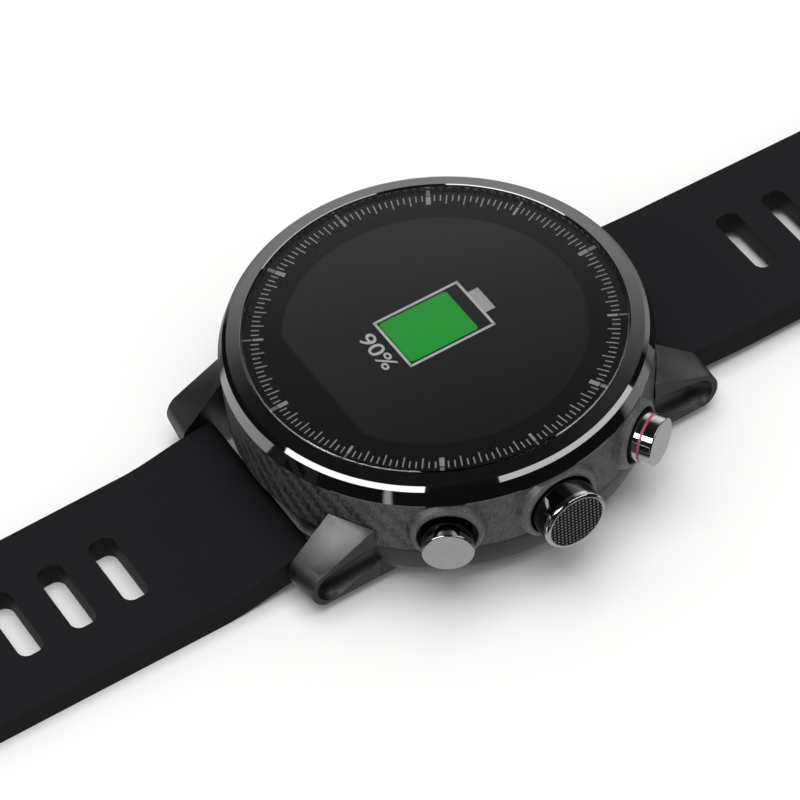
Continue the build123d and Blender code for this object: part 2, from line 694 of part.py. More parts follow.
def buckle_tongue():
    z_rest = Z_PIN + BUCKLE_H / 2 - 0.3 + 0.03
    y_end = Y_BUCKLE_OUT - 0.5
    y_bar = Y_BUCKLE_OUT - BUCKLE_BAR
    z_pin_top = Z_PIN + R_TONGUE_EYE
    side = make_face(Polyline(
        (Y_PIN, Z_PIN + 0.3), (Y_PIN + 2.4, Z_PIN + 0.3), (y_bar - 0.6, z_rest),
        (y_end, z_rest), (y_end, z_rest + TONGUE_T * 0.75), (y_bar, z_rest + TONGUE_T),
        (Y_PIN + 2.5, z_pin_top), (Y_PIN, z_pin_top), close=True))
    side += Pos(Y_PIN, Z_PIN) * Circle(R_TONGUE_EYE)
    tongue = side_extrude(side, TONGUE_W / 2)
    return tongue - rod_x(R_PIN + 0.05, -20, 20, Y_PIN, Z_PIN)


def keeper(y):
    """Loop that holds the strap and, when worn, the long end above it."""
    half = STRAP_W / 2 + KEEPER_SIDE_GAP
    z0 = Z_SHORT - FIT - KEEPER_WALL
    height = KEEPER_IN_H + 2 * KEEPER_WALL
    centre = Pos(y, 0, z0 + height / 2)
    outer = RectangleRounded(2 * (half + KEEPER_WALL), height, 1.8)
    inner = RectangleRounded(2 * half, KEEPER_IN_H, 0.9)
    loop = extrude(outer - inner, KEEPER_L / 2, both=True)
    return Pos(0, y, z0 + height / 2) * Rot(90, 0, 0) * loop


# ------------------------------------------------------------------ write everything
def to_6(shape):
    """Turn a +Y side piece round to the 6 o'clock side."""
    return Rot(0, 0, 180) * shape


SINGLE = {
    "bezel_ring": bezel_ring, "display_glass": display_glass, "glass_gasket": glass_gasket,
    "dial_ring": dial_ring, "display_panel": display_panel, "display_backplate": display_backplate,
    "display_carrier": display_carrier, "mid_case": mid_case, "bezel_seal": bezel_seal,
    "lug_chassis": chassis, "case_back": case_back, "back_seal": back_seal,
    "sensor_window": sensor_window, "sensor_board": sensor_board, "contact_board": contact_board,
    "battery_cell": battery_cell, "inner_frame": inner_frame, "main_board": main_board,
    "gps_antenna": gps_antenna, "pressure_sensor": pressure_sensor,
    "vibration_motor": vibration_motor, "display_flex": display_flex, "sensor_flex": sensor_flex,
    "upper_pusher_band": pusher_band, "strap_12": strap_12, "strap_6": strap_6,
    "buckle_frame": buckle_frame, "buckle_pin": buckle_pin, "buckle_tongue": buckle_tongue,
}
GROUPS = {
    "sensor_leds": sensor_leds, "charging_contacts": charging_contacts,
    "back_screws": back_screws, "board_shields": board_shields, "board_chips": board_chips,
    "side_switches": side_switches,
}

for node, make in SINGLE.items():
    write(node, make())
for node, make in GROUPS.items():
    write(node, *make())
for name, (clock, _, _) in PUSHERS.items():
    write(f"{name}_pusher_cap", pusher_cap(name))
    write(f"{name}_pusher_clip", pusher_clip(clock))
    write(f"{name}_pusher_spring", pusher_spring(name))
write("pusher_tubes", *[pusher_tube(clock) for clock, _, _ in PUSHERS.values()])
write("pusher_seals", *[pusher_seal(clock) for clock, _, _ in PUSHERS.values()])
for side, place in (("12", lambda s: s), ("6", to_6)):
    write(f"bar_tube_{side}", place(bar_tube()))
    write(f"bar_tip_{side}", place(bar_fixed_tip()))
    write(f"bar_release_{side}", place(bar_release_tip()))
    write(f"bar_spring_{side}", place(bar_spring()))
write("keeper_fixed", keeper(Y_KEEPER_FIXED))
write("keeper_free", keeper(Y_KEEPER_FREE))
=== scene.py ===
"""Looks of a round sports watch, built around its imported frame.

Metres. +Z goes up through the display, +Y to 12 o'clock, +X to the three pushers.
"""
import json
import math

import bmesh
import bpy
from mathutils import Matrix, Vector


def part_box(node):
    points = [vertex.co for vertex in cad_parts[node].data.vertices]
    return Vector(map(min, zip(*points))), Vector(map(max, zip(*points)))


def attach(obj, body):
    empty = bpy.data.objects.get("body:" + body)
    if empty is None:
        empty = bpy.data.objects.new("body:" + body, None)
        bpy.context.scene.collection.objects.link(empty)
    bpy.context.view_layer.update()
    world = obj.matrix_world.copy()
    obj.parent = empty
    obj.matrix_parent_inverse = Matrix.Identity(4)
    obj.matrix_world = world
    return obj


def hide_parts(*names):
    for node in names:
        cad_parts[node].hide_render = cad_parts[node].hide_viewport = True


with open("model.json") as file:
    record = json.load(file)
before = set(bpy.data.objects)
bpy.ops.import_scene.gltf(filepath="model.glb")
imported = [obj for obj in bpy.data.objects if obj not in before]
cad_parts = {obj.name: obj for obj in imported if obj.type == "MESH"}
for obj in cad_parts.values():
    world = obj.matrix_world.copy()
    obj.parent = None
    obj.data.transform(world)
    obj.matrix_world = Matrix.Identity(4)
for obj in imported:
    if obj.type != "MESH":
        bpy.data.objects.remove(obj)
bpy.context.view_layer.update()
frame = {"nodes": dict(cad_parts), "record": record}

MM = 0.001

# Heights that the frame gives, in millimetres from its origin.
Z_DIAL_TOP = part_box("dial_ring")[1].z / MM
Z_PANEL_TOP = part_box("display_panel")[1].z / MM
X_MIDDLE_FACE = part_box("middle_pusher_cap")[1].x / MM
Z_PUSHER = sum(corner.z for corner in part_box("middle_pusher_cap")) / 2 / MM

# Places on the watch where a finish changes, in millimetres.
Z_TOP_RING = 15.15          # height of the bezel's top ring
R_TOP_RING = 20.54          # where its lapped part begins
R_FIELD = 16.125            # edge of the display's lit field
Y_FIELD = -13.85            # its straight edge towards 6 o'clock
R_COLLAR = 23.45            # where a pusher's collar starts to stand out of the wall
R_CHASSIS = 22.95           # outside of the rim between the lugs
Z_CHASSIS = 6.1             # top of that rim

# Knurling on the middle pusher, in millimetres.
KNURL_ROWS = 15
KNURL_PITCH = 0.44
KNURL_LAND = 0.02           # flat left in the bottom of each groove
KNURL_SLOPE = 0.11          # how far a point's sides run in
KNURL_POINT = 0.10          # how high a point stands over its sheet
KNURL_SHEET = 0.03
KNURL_RECESS = 0.14
KNURL_LIFT = 0.005          # keeps the sheet off the floor of the recess
R_KNURL = 3.13

INK = 0.02                  # thickness of all print, in millimetres
DIAL_LIFT = 0.005           # gap under the print on the dial
PICTURE_LIFT = 0.01         # gap under the picture on the display


# ------------------------------------------------------------------ shader tools
def linear(hex_colour):
    """An sRGB hex colour as linear RGBA."""
    parts = [int(hex_colour[i:i + 2], 16) / 255 for i in (1, 3, 5)]
    return [c / 12.92 if c <= 0.04045 else ((c + 0.055) / 1.055) ** 2.4 for c in parts] + [1.0]


def per(size_mm):
    """Texture scale, in cycles per metre, for features of that many millimetres."""
    return 1 / (size_mm * MM)


def add(tree, kind, inputs=None, **settings):
    """Adds one node with its settings; an input is set to a value or linked from a socket."""
    made = tree.nodes.new(kind)
    for name, value in settings.items():
        setattr(made, name, value)
    for socket, value in (inputs or {}).items():
        if isinstance(value, bpy.types.NodeSocket):
            tree.links.new(value, made.inputs[socket])
        else:
            made.inputs[socket].default_value = value
    return made


def start(name):
    """A new material, with its tree, its shader and its object coordinates."""
    material = bpy.data.materials.new(name)
    material.use_nodes = True
    tree = material.node_tree
    place = add(tree, "ShaderNodeTexCoord").outputs["Object"]
    return material, tree, tree.nodes["Principled BSDF"], place


def calc(tree, operation, *values):
    """What a Math node makes of the values."""
    return add(tree, "ShaderNodeMath", dict(enumerate(values)), operation=operation).outputs[0]


def noise(tree, place, size_mm, detail=2.0, stretch=None):
    """Noise with features of that size, drawn out by stretch along X, Y and Z."""
    if stretch:
        place = add(tree, "ShaderNodeVectorMath", {0: place, 1: stretch},
                    operation="DIVIDE").outputs[0]
    return add(tree, "ShaderNodeTexNoise",
               {"Vector": place, "Scale": per(size_mm), "Detail": detail}).outputs["Fac"]


def between(tree, value, low, high, to_low=0.0, to_high=1.0):
    """Value mapped from low..high to to_low..to_high and held at both ends."""
    return add(tree, "ShaderNodeMapRange",
               {"Value": value, "From Min": low, "From Max": high,
                "To Min": to_low, "To Max": to_high}).outputs["Result"]


def mixed(tree, factor, first, second):
    """A colour from first to second, each a hex colour or a socket."""
    first, second = (linear(c) if isinstance(c, str) else c for c in (first, second))
    return add(tree, "ShaderNodeMix", {0: factor, 6: first, 7: second},
               data_type="RGBA").outputs[2]


def dress(tree, shader, **inputs):
    """Sets or links inputs of the shader; an underscore stands for a space."""
    for name, value in inputs.items():
        socket = shader.inputs[name.replace("_", " ")]
        if isinstance(value, bpy.types.NodeSocket):
            tree.links.new(value, socket)
        else:
            socket.default_value = value


def relief(tree, height, depth_mm):
    """A bump normal where a height of 1 stands that many millimetres proud."""
    return add(tree, "ShaderNodeBump", {"Height": height, "Distance": depth_mm * MM,
                                        "Strength": 1.0}).outputs["Normal"]


def either(tree, factor, first, second):
    """A number from first to second, each a value or a socket."""
    return add(tree, "ShaderNodeMix", {0: factor, 2: first, 3: second}).outputs[0]


def lets_shadow_rays_through(material, tree, shader, tint):
    """Ends the material in its own shader, but clear and of that tint to shadow rays, so that
    what is under it is lit."""
    clear = add(tree, "ShaderNodeBsdfTransparent", {"Color": linear(tint)})
    shadow = add(tree, "ShaderNodeLightPath").outputs["Is Shadow Ray"]
    both = add(tree, "ShaderNodeMixShader",
               {0: shadow, 1: shader.outputs[0], 2: clear.outputs[0]})
    tree.links.new(both.outputs[0], tree.nodes["Material Output"].inputs["Surface"])
    return material


def polar(tree, place):
    """Distance from the watch's axis, angle round it, and height, as sockets."""
    axes = add(tree, "ShaderNodeSeparateXYZ", {0: place}).outputs
    flat = add(tree, "ShaderNodeCombineXYZ", {"X": axes["X"], "Y": axes["Y"]}).outputs[0]
    radius = add(tree, "ShaderNodeVectorMath", {0: flat}, operation="LENGTH").outputs["Value"]
    return radius, calc(tree, "ARCTAN2", axes["Y"], axes["X"]), axes["Z"]


# ------------------------------------------------------------------ finishes
def black_zirconia():
    """Sintered zirconia ceramic, black right through: the wall and the bevel are diamond
    polished and mirror the lights, and the top ring is lapped to a satin that holds a soft
    gradient and very fine rings. Its index is about 2.15, so it mirrors more than plastic."""
    material, tree, shader, place = start("black_zirconia")
    radius, _, height = polar(tree, place)
    top_ring = between(tree, height, (Z_TOP_RING - 0.01) * MM, (Z_TOP_RING + 0.01) * MM)
    inside = between(tree, radius, (R_TOP_RING - 0.01) * MM, (R_TOP_RING + 0.01) * MM)
    lapped = calc(tree, "MULTIPLY", top_ring, inside)
    rings = add(tree, "ShaderNodeTexNoise", {"W": radius, "Scale": per(0.09), "Detail": 3.0},
                noise_dimensions="1D").outputs["Fac"]
    cloud = noise(tree, place, 2.5, 3.0)
    satin = between(tree, cloud, 0.3, 0.7, 0.17, 0.22)
    mirror = between(tree, noise(tree, place, 0.6, 2.0), 0.4, 0.8, 0.035, 0.06)
    lift = calc(tree, "MULTIPLY", rings, lapped)
    dress(tree, shader, Base_Color=mixed(tree, cloud, "#060607", "#0a0a0b"),
          Roughness=either(tree, lapped, mirror, satin), IOR=2.15,
          Normal=relief(tree, lift, 0.0006))
    return material


def mineral_glass():
    """Hardened mineral glass, clear and polished flat, with a bevelled edge. It darkens what is
    under it a little and mirrors a twentieth of what is over it."""
    material, tree, shader, place = start("mineral_glass")
    veil = mixed(tree, noise(tree, place, 7.0, 3.0), "#fdfdfd", "#f8f8f8")
    dress(tree, shader, Base_Color=veil, Roughness=0.0, IOR=1.52, Transmission_Weight=1.0)
    return lets_shadow_rays_through(material, tree, shader, "#f4f4f4")


def dial_enamel():
    """Black lacquer sprayed on the flange ring under the glass: matte, nearly black, with the
    fine orange peel of a sprayed coat."""
    material, tree, shader, place = start("dial_lacquer")
    peel = noise(tree, place, 0.12, 3.0)
    dress(tree, shader, Base_Color=mixed(tree, peel, "#070708", "#0b0b0c"), Roughness=0.7,
          Specular_IOR_Level=0.0, Normal=relief(tree, peel, 0.0005))
    return material


def reflective_lcd():
    """A reflective liquid-crystal cell: a dark grey field, slightly lighter than the lacquer
    round it, with a faint raster of 0.1 mm cells. The field is painted lighter towards
    9 o'clock and darker towards 3 o'clock, as painted shading."""
    material, tree, shader, place = start("reflective_lcd")
    axes = add(tree, "ShaderNodeSeparateXYZ", {0: place}).outputs
    pitch = 0.1 * MM
    lines = [between(tree, calc(tree, "PINGPONG", calc(tree, "DIVIDE", axes[a], pitch), 0.5),
                     0.0, 0.12) for a in "XY"]
    raster = calc(tree, "MULTIPLY", *lines)
    radius, _, _ = polar(tree, place)
    field = between(tree, radius, (R_FIELD - 0.125) * MM, (R_FIELD + 0.125) * MM, 1.0, 0.0)
    flat_side = between(tree, axes["Y"], (Y_FIELD - 0.1) * MM, (Y_FIELD + 0.1) * MM)
    lit = calc(tree, "MULTIPLY", calc(tree, "MULTIPLY", field, flat_side),
               between(tree, raster, 0.0, 1.0, 0.8, 1.0))
    # Painted shading: the field's colour runs from lighter at 9 o'clock to darker at 3 o'clock.
    painted_falloff = mixed(tree, between(tree, axes["X"], -9.0 * MM, 15.0 * MM), "#252628", "#18181a")
    dress(tree, shader, Base_Color=mixed(tree, lit, "#0a0a0b", painted_falloff), Roughness=0.6,
          Specular_IOR_Level=0.0)
    return material


def print_ink(name, colour, worn):
    """Screen-printed ink: opaque and matte, a few hundredths of a millimetre thick, and a
    little uneven where the mesh has left it thin."""
    material, tree, shader, place = start(name)
    patchy = noise(tree, place, 0.15, 3.0)
    dress(tree, shader, Base_Color=mixed(tree, between(tree, patchy, 0.3, 0.8), colour, worn),
          Roughness=0.6, Specular_IOR_Level=0.1, Normal=relief(tree, patchy, 0.004))
    return material


def carbon_twill():
    """Carbon-fibre composite, compression moulded and bead blasted: a 2 by 2 twill of 0.6 mm
    tows, dark grey, that shows as slanting dashes, clouded where resin lies over it and dotted
    with light specks of bare fibre ends. The dashes' contrast is painted sheen, strongest
    towards 12 and 6 o'clock."""
    material, tree, shader, place = start("carbon_twill")
    radius, angle, height = polar(tree, place)
    tows, rise_mm = 240, 0.78
    across = calc(tree, "MULTIPLY_ADD", angle, tows / math.tau, tows / 2)
    up = calc(tree, "DIVIDE", height, rise_mm * MM)
    step = calc(tree, "ADD", calc(tree, "FLOOR", across), calc(tree, "FLOOR", up))
    warp = calc(tree, "LESS_THAN", calc(tree, "FLOORED_MODULO", step, 4.0), 1.5)
    crowns = [between(tree, calc(tree, "PINGPONG", value, 0.5), 0.0, 0.28)
              for value in (across, up)]
    crown = either(tree, warp, crowns[1], crowns[0])
    cloud = noise(tree, place, 3.2, 3.0)
    mottle = noise(tree, place, 0.7, 4.0)
    fibres = noise(tree, place, 0.07, 2.0, stretch=(1.0, 1.0, 9.0))
    # Painted sheen: the dashes get most contrast towards 12 and 6 o'clock and least towards 3 and
    # 9 o'clock.
    sheen_side = calc(tree, "ABSOLUTE", calc(tree, "SINE", angle))
    show = calc(tree, "MULTIPLY", between(tree, cloud, 0.38, 0.62, 0.45, 1.0),
                between(tree, sheen_side, 0.45, 0.95, 0.25, 1.3))
    clouds = calc(tree, "MULTIPLY_ADD", cloud, 0.7, calc(tree, "MULTIPLY", mottle, 0.9))
    tone = calc(tree, "MULTIPLY_ADD", warp, show, calc(tree, "SUBTRACT", clouds, 0.3))
    weave = mixed(tree, between(tree, tone, 0.2, 1.4), "#444548", "#131415")
    streaked = mixed(tree, between(tree, fibres, 0.45, 0.8, 0.0, 0.4), weave, "#85878a")
    specks = between(tree, noise(tree, place, 0.11, 1.0), 0.68, 0.74)
    collar = between(tree, radius, R_COLLAR * MM, (R_COLLAR + 0.17) * MM, 0.0, 0.12)
    pale = calc(tree, "MAXIMUM", calc(tree, "MULTIPLY", specks, 0.7), collar)
    bump = calc(tree, "ADD", calc(tree, "MULTIPLY", crown, calc(tree, "MULTIPLY", show, 0.6)),
                calc(tree, "MULTIPLY", fibres, 0.25))
    dress(tree, shader, Base_Color=mixed(tree, pale, streaked, "#a4a6a8"),
          Roughness=between(tree, mottle, 0.3, 0.7, 0.38, 0.52),
          Normal=relief(tree, bump, 0.02))
    return material


def blasted_steel():
    """Stainless steel, bead blasted and coated dark grey by vapour deposition: a satin metal
    whose facets go from pale to nearly black as they turn. The rim between the lugs is painted
    black, without a metal's shine, as painted shade for the shadow that falls there."""
    material, tree, shader, place = start("blasted_steel")
    grit = noise(tree, place, 0.09, 3.0)
    stain = noise(tree, place, 3.0, 3.0)
    radius, _, height = polar(tree, place)
    # Painted shade: on the rim between the lugs, inside R_CHASSIS and under Z_CHASSIS, the colour
    # is near black and not metallic.
    horn = calc(tree, "MAXIMUM", between(tree, radius, R_CHASSIS * MM, (R_CHASSIS + 0.07) * MM),
                between(tree, height, (Z_CHASSIS - 0.01) * MM, (Z_CHASSIS + 0.02) * MM))
    coat = mixed(tree, stain, "#525253", "#5c5c5d")
    dress(tree, shader, Base_Color=mixed(tree, horn, "#161617", coat), Metallic=horn,
          Roughness=between(tree, stain, 0.3, 0.7, 0.42, 0.48), Normal=relief(tree, grit, 0.003))
    return material


def turned_steel(name, clock, face_mm, skirt):
    """Stainless steel turned on a lathe: the rim is buffed to a mirror, the end face is left
    satin, and the skirt behind the rim takes its own colour, which on the middle and lower
    pushers is painted shade from the well round it. The pusher's axis is at that clock angle,
    its face that far from the case axis."""
    material, tree, shader, place = start(name)
    turn = math.radians(90 - clock)
    along = add(tree, "ShaderNodeVectorMath",
                {0: place, 1: (math.cos(turn), math.sin(turn), 0.0)},
                operation="DOT_PRODUCT").outputs["Value"]
    face = between(tree, along, (face_mm - 0.03) * MM, (face_mm - 0.01) * MM)
    rim = between(tree, along, (face_mm - 0.75) * MM, (face_mm - 0.65) * MM)
    grain = noise(tree, place, 0.05, 2.0, stretch=(1.0, 1.0, 14.0))
    handled = noise(tree, place, 1.2, 3.0)
    bright = between(tree, handled, 0.35, 0.75, 0.05, 0.10)
    steel = mixed(tree, handled, "#c8c9ca", "#babbbc")
    # Painted shade: behind the rim the skirt's colour is used, dark on the middle and lower
    # pushers.
    dress(tree, shader, Base_Color=mixed(tree, rim, skirt, steel), Metallic=1.0,
          Roughness=either(tree, face, bright, 0.24),
          Normal=relief(tree, calc(tree, "MULTIPLY", grain, face), 0.0012))
    return material


def knurled_steel_painted_shade():
    """Knurled steel: pale on the tips of the points, and painted near black on their sides and
    in the grooves as painted shade.
    """
    material, tree, shader, place = start("knurl_painted_shade")
    axes = add(tree, "ShaderNodeSeparateXYZ", {0: place}).outputs
    # Painted shade: only the top 0.05 mm of the points keeps a pale steel colour; below it the
    # colour is near black.
    point_tips = between(tree, axes["X"], (X_MIDDLE_FACE - 0.05) * MM, X_MIDDLE_FACE * MM)
    worn = noise(tree, place, 0.9, 3.0)
    points = mixed(tree, worn, "#a8aaad", "#85878a")
    dress(tree, shader, Base_Color=mixed(tree, point_tips, "#1c1d1e", points), Metallic=1.0,
          Roughness=between(tree, worn, 0.3, 0.7, 0.28, 0.36))
    return material


def metal(name, pale, dark, rough, grain_mm, depth_mm, stretch=None):
    """A plain metal part: sheet, wire, screw or foil, told apart by colour, grain and how far
    the grain is drawn out by rolling or turning."""
    material, tree, shader, place = start(name)
    grain = noise(tree, place, grain_mm, 3.0, stretch)
    worn = noise(tree, place, grain_mm * 9, 2.0)
    dress(tree, shader, Base_Color=mixed(tree, worn, pale, dark), Metallic=1.0,
          Roughness=between(tree, worn, 0.3, 0.7, rough * 0.85, rough * 1.2),
          Normal=relief(tree, grain, depth_mm))
    return material


def moulded(name, pale, dark, rough, grain_mm, depth_mm, **more):
    """A moulded or cast part that isn't metal: the grain is the tool's spark-eroded texture,
    and the colour clouds a little, as filled plastics and rubbers do."""
    material, tree, shader, place = start(name)
    grain = noise(tree, place, grain_mm, 3.0)
    cloud = noise(tree, place, grain_mm * 25, 3.0)
    dress(tree, shader, Base_Color=mixed(tree, cloud, pale, dark),
          Roughness=between(tree, cloud, 0.3, 0.7, rough * 0.92, rough * 1.08),
          Normal=relief(tree, grain, depth_mm), **more)
    return material


def silicone():
    """Strap silicone, moulded in a matte tool and dusted with a soft-touch coat: blue-black,
    with a broad dull shine, a grain of 0.07 mm and faint handling marks."""
    material, tree, shader, place = start("strap_silicone")
    grain = noise(tree, place, 0.07, 2.0)
    marks = noise(tree, place, 9.0, 4.0, stretch=(1.0, 3.0, 1.0))
    lint = between(tree, noise(tree, place, 0.16, 0.0), 0.79, 0.83)
    field = mixed(tree, marks, "#141518", "#17181c")
    dress(tree, shader, Base_Color=mixed(tree, calc(tree, "MULTIPLY", lint, 0.08), field,
                                         "#55575a"),
          Roughness=between(tree, marks, 0.3, 0.7, 0.56, 0.64), Specular_IOR_Level=0.15,
          Normal=relief(tree, grain, 0.004))
    return material


def solder_mask():
    """Epoxy-glass board under green solder mask, with copper tracks 0.2 mm wide showing as
    slightly raised, lighter lines."""
    material, tree, shader, place = start("solder_mask")
    tracks = add(tree, "ShaderNodeTexBrick",
                 {"Vector": place, "Scale": per(4.0), "Mortar Size": 0.03,
                  "Color1": linear("#0c3a22"), "Color2": linear("#0f4528"),
                  "Mortar": linear("#2a7a4a")})
    dress(tree, shader, Base_Color=tracks.outputs["Color"], Roughness=0.32,
          Normal=relief(tree, tracks.outputs["Fac"], 0.02))
    return material


def smoked_window():
    """Infrared-clear polycarbonate over the pulse sensor: black by reflected light, polished,
    and just clear enough that the green emitters show through."""
    material, tree, shader, place = start("smoked_polycarbonate")
    haze = noise(tree, place, 4.0, 2.0)
    dress(tree, shader, Base_Color=mixed(tree, haze, "#5a5c60", "#4c4e52"), IOR=1.58,
          Roughness=between(tree, haze, 0.3, 0.8, 0.02, 0.06), Transmission_Weight=1.0)
    return lets_shadow_rays_through(material, tree, shader, "#8a8c90")


FINISH = {
    "bezel": black_zirconia(),
    "glass": mineral_glass(),
    "seal": moulded("nitrile_rubber", "#0d0d0e", "#141415", 0.6, 0.1, 0.004),
    "dial": dial_enamel(),
    "display": reflective_lcd(),
    "sheet_steel": metal("nickel_silver_sheet", "#b9bab8", "#9fa09e", 0.28, 0.06, 0.002,
                         (1.0, 12.0, 1.0)),
    "black_plastic": moulded("filled_nylon", "#121213", "#1b1b1c", 0.55, 0.12, 0.008),
    "carbon": carbon_twill(),
    "lug_steel": blasted_steel(),
    "back_plastic": moulded("glass_filled_polyamide", "#151516", "#1c1c1d", 0.42, 0.1, 0.005),
    "sensor_glass": smoked_window(),
    "led": moulded("cast_epoxy_lens", "#7fae86", "#9cc7a1", 0.2, 0.2, 0.002,
                   Emission_Color=linear("#2fd36a"), Emission_Strength=0.15),
    "circuit_board": solder_mask(),
    "gold_contact": metal("hard_gold_plate", "#d9a441", "#c08a2c", 0.22, 0.05, 0.001),
    "screw_steel": metal("blackened_screw_steel", "#5b5c5e", "#434446", 0.3, 0.05, 0.002),
    "battery_foil": metal("pouch_foil", "#b5b7b9", "#9a9c9e", 0.36, 0.5, 0.02),
    "chip": moulded("moulded_epoxy_chip", "#161617", "#202021", 0.5, 0.05, 0.003),
    "antenna_ceramic": moulded("fired_dielectric_ceramic", "#c9bfa8", "#b5aa92", 0.45, 0.08,
                               0.003),
    "flex": moulded("polyimide_film", "#7a4a12", "#94601c", 0.3, 0.3, 0.003),
    "red_enamel": moulded("red_anodised_band", "#a05060", "#8c4352", 0.35, 0.08, 0.002),
    "buckle_steel": metal("brushed_buckle_steel", "#77787a", "#626365", 0.3, 0.06, 0.003,
                          (12.0, 1.0, 1.0)),
}
# Each pusher's clock angle in degrees, how far its face is from the axis, and its skirt's
# colour: plain steel on the upper pusher, painted shade on the middle and lower ones.
CAPS = {"upper": (60.0, 26.1, "#bcbdbe"), "middle": (90.0, 26.5, "#5a5b5d"),
        "lower": (120.0, 25.9, "#434446")}
SILICONE = silicone()
KNURL_STEEL = knurled_steel_painted_shade()
TICK_INK = print_ink("grey_tick_ink", "#9c9c9c", "#868686")
DIM_INK = print_ink("dim_grey_ink", "#7e7e7e", "#6a6a6a")
ICON_INK = print_ink("pale_icon_segment", "#c2c2c2", "#b4b4b4")
CAP_INK = print_ink("grey_icon_segment", "#acacaa", "#a2a2a0")
CHARGE_INK = print_ink("green_charge_segment", "#24a038", "#209a34")


def paint(piece, material):
    """Gives a piece one material, in every slot that it has."""
    if not piece.data.materials:
        piece.data.materials.append(material)
    for place in piece.material_slots:
        place.material = material


for row in frame["record"]["subparts"]:
    slot = row["material_slot"]
    if slot in FINISH:
        paint(frame["nodes"][row["node"]], FINISH[slot])
for side, (clock, face, skirt) in CAPS.items():
    paint(frame["nodes"][side + "_pusher_cap"],
          turned_steel(side + "_turned_steel", clock, face, skirt))


# ------------------------------------------------------------------ modelling tools
def clear_hand():
    """Object mode with nothing selected, so that an operator acts only on what comes next."""
    if bpy.context.mode != "OBJECT":
        bpy.ops.object.mode_set(mode="OBJECT")
    bpy.ops.object.select_all(action="DESELECT")


def take(piece):
    """Selects one piece and makes it the active one."""
    clear_hand()
    piece.select_set(True)
    bpy.context.view_layer.objects.active = piece


def settle(piece):
    """Puts a piece's place, turn and size into its mesh."""
    take(piece)
    bpy.ops.object.transform_apply(location=True, rotation=True, scale=True)


def choose(piece, kind, test):
    """In edit mode, selects only the verts, edges or faces that pass the test."""
    bpy.ops.mesh.select_mode(type=kind)
    bpy.ops.mesh.select_all(action="DESELECT")
    mesh = bmesh.from_edit_mesh(piece.data)
    for part in {"VERT": mesh.verts, "EDGE": mesh.edges, "FACE": mesh.faces}[kind]:
        if test(part):
            part.select_set(True)
    mesh.select_flush_mode()
    bmesh.update_edit_mesh(piece.data)


def finish_with(piece, kind, **settings):
    """Adds a modifier and applies it."""
    take(piece)
    modifier = piece.modifiers.new(kind.lower(), kind)
    for name, value in settings.items():
        setattr(modifier, name, value)
    bpy.ops.object.modifier_apply(modifier=modifier.name)


def plate(name, x0, x1, y0, y1, z0, corner):
    """A thin plate of ink between those limits in millimetres, its upright corners rounded."""
    clear_hand()
    bpy.ops.mesh.primitive_cube_add(
        size=MM, location=((x0 + x1) / 2 * MM, (y0 + y1) / 2 * MM, (z0 + INK / 2) * MM),
        scale=(x1 - x0, y1 - y0, INK))
    piece = bpy.context.object
    piece.name = piece.data.name = name
    settle(piece)
    bpy.ops.object.mode_set(mode="EDIT")
    choose(piece, "EDGE", lambda e: abs((e.verts[0].co - e.verts[1].co).normalized().z) > 0.9)
    bpy.ops.mesh.bevel(offset=corner * MM, segments=2, affect="EDGES")
    bpy.ops.object.mode_set(mode="OBJECT")
    return piece


def ring_of(name, model, turns):
    """Copies of one piece, each with its own mesh, turned about the watch's axis and joined."""
    copies = []
    for turn in turns:
        piece = model.copy()
        piece.data = model.data.copy()
        piece.data.transform(Matrix.Rotation(math.radians(turn), 4, "Z"))
        bpy.context.collection.objects.link(piece)
        copies.append(piece)
    bpy.data.objects.remove(model)
    clear_hand()
    for piece in copies:
        piece.select_set(True)
    bpy.context.view_layer.objects.active = copies[0]
    bpy.ops.object.join()
    joined = bpy.context.object
    joined.name = joined.data.name = name
    return joined


def hand_over(piece, material, body):
    """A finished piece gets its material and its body."""
    paint(piece, material)
    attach(piece, body)
    return piece


# ------------------------------------------------------------------ dial print
# The ring under the glass is printed every 2 degrees; every third mark is longer, and each
# hour has a block, wide at the even hours, with a dimmer block beyond it.
Z_INK = Z_DIAL_TOP + DIAL_LIFT


def dial_marks():
    """All of the print on the ring: each kind of mark drawn once at 3 o'clock, then turned."""
    marks = [t for t in range(0, 360, 2) if t % 30]
    short = plate("short_mark", 18.55, 19.42, -0.07, 0.07, Z_INK, 0.03)
    long = plate("long_mark", 18.08, 19.42, -0.07, 0.07, Z_INK, 0.03)
    hand_over(ring_of("dial_short_marks", short, [t for t in marks if t % 6]),
              TICK_INK, "case")
    hand_over(ring_of("dial_long_marks", long, [t for t in marks if not t % 6]),
              TICK_INK, "case")
    for name, half, turns in (("even", 0.26, range(30, 390, 60)),
                              ("odd", 0.15, range(0, 360, 60))):
        block = plate("block", 18.06, 19.2, -half, half, Z_INK, 0.05)
        hand_over(ring_of(name + "_hour_blocks", block, turns), TICK_INK, "case")
        outer = plate("outer", 19.3, 20.2, 0.04 - half, half - 0.04, Z_INK, 0.05)
        hand_over(ring_of(name + "_outer_blocks", outer, turns), DIM_INK, "case")


dial_marks()


# ------------------------------------------------------------------ charging picture
# Segments of the display that are on: a battery, filled to nine tenths, and its figure. They
# stand between the panel's face and the glass.
Z_PICTURE = Z_PANEL_TOP + PICTURE_LIFT


def battery_outline():
    """A thin frame with square corners: a plate whose middle is inset and cut out."""
    piece = plate("battery_outline", -4.36, 3.28, -5.05, 5.5, Z_PICTURE, 0.06)
    bpy.ops.object.mode_set(mode="EDIT")
    choose(piece, "FACE", lambda f: abs(f.normal.z) > 0.9)
    bpy.ops.mesh.inset(thickness=0.3 * MM, depth=0)
    bpy.ops.mesh.bridge_edge_loops()
    bpy.ops.object.mode_set(mode="OBJECT")
    return piece


